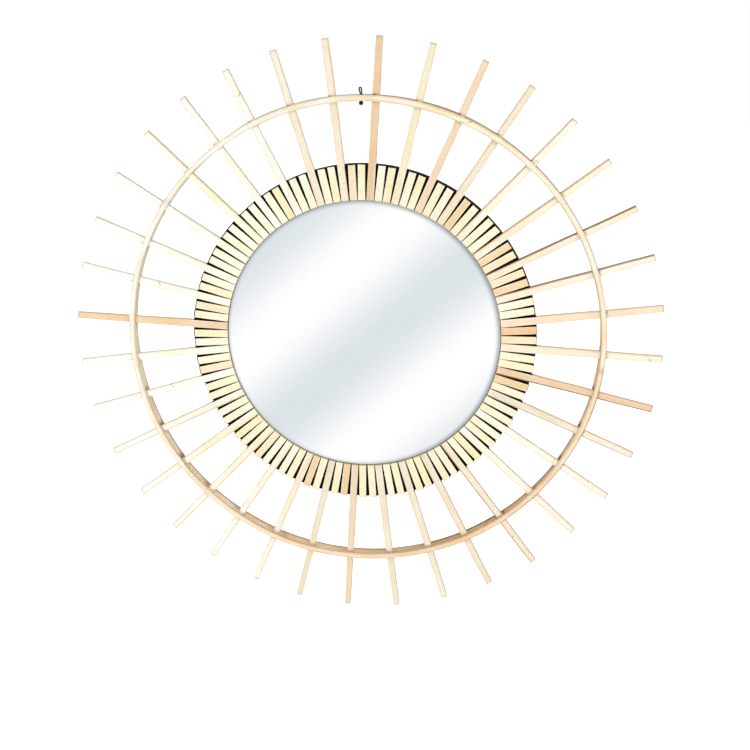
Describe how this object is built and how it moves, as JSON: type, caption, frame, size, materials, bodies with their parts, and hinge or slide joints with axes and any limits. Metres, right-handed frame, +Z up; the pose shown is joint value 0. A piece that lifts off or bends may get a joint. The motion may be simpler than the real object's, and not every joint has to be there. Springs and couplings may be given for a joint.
{
  "type": "wall mirror",
  "caption": "Round wall mirror in a sunburst of flat rattan sticks, held by thin rattan hoops on a black backing board, with a wire loop to hang it on a nail.",
  "frame": {"origin": "inner top of the wire eye, where the nail carries it, on the plane of the wall", "axes": "+Z up, +Y into the wall, glass facing -Y, +X to the right of someone who looks into the mirror"},
  "size_m": [0.5992, 0.0212, 0.5992],
  "materials": {
    "mirror": "silvered flat glass, polished",
    "board": "fibreboard painted matt black",
    "front_hoop": "round rattan, sanded, clear satin",
    "rear_hoop": "round rattan, browner, satin",
    "wire": "blackened iron wire",
    "sticks": "flat rattan sticks, pale, fine pores, clear satin"
  },
  "bodies": {
    "root": {"mirror_glass": "mirror", "backing_board": "board", "front_hoop": "front_hoop", "rear_hoop": "rear_hoop", "hanging_loop": "wire", "ray_and_slats_01": "sticks", "ray_and_slats_02": "sticks", "ray_and_slats_03": "sticks", "ray_and_slats_04": "sticks", "ray_and_slats_05": "sticks", "ray_and_slats_06": "sticks", "ray_and_slats_07": "sticks", "ray_and_slats_08": "sticks", "ray_and_slats_09": "sticks", "ray_and_slats_10": "sticks", "ray_and_slats_11": "sticks", "ray_and_slats_12": "sticks", "ray_and_slats_13": "sticks", "ray_and_slats_14": "sticks", "ray_and_slats_15": "sticks", "ray_and_slats_16": "sticks", "ray_and_slats_17": "sticks", "ray_and_slats_18": "sticks", "ray_and_slats_19": "sticks", "ray_and_slats_20": "sticks", "ray_and_slats_21": "sticks", "ray_and_slats_22": "sticks", "ray_and_slats_23": "sticks", "ray_and_slats_24": "sticks", "ray_and_slats_25": "sticks", "ray_and_slats_26": "sticks", "ray_and_slats_27": "sticks", "ray_and_slats_28": "sticks", "ray_and_slats_29": "sticks", "ray_and_slats_30": "sticks", "ray_and_slats_31": "sticks", "ray_and_slats_32": "sticks", "ray_and_slats_33": "sticks", "ray_and_slats_34": "sticks", "ray_and_slats_35": "sticks", "ray_and_slats_36": "sticks"}
  },
  "joints": []
}
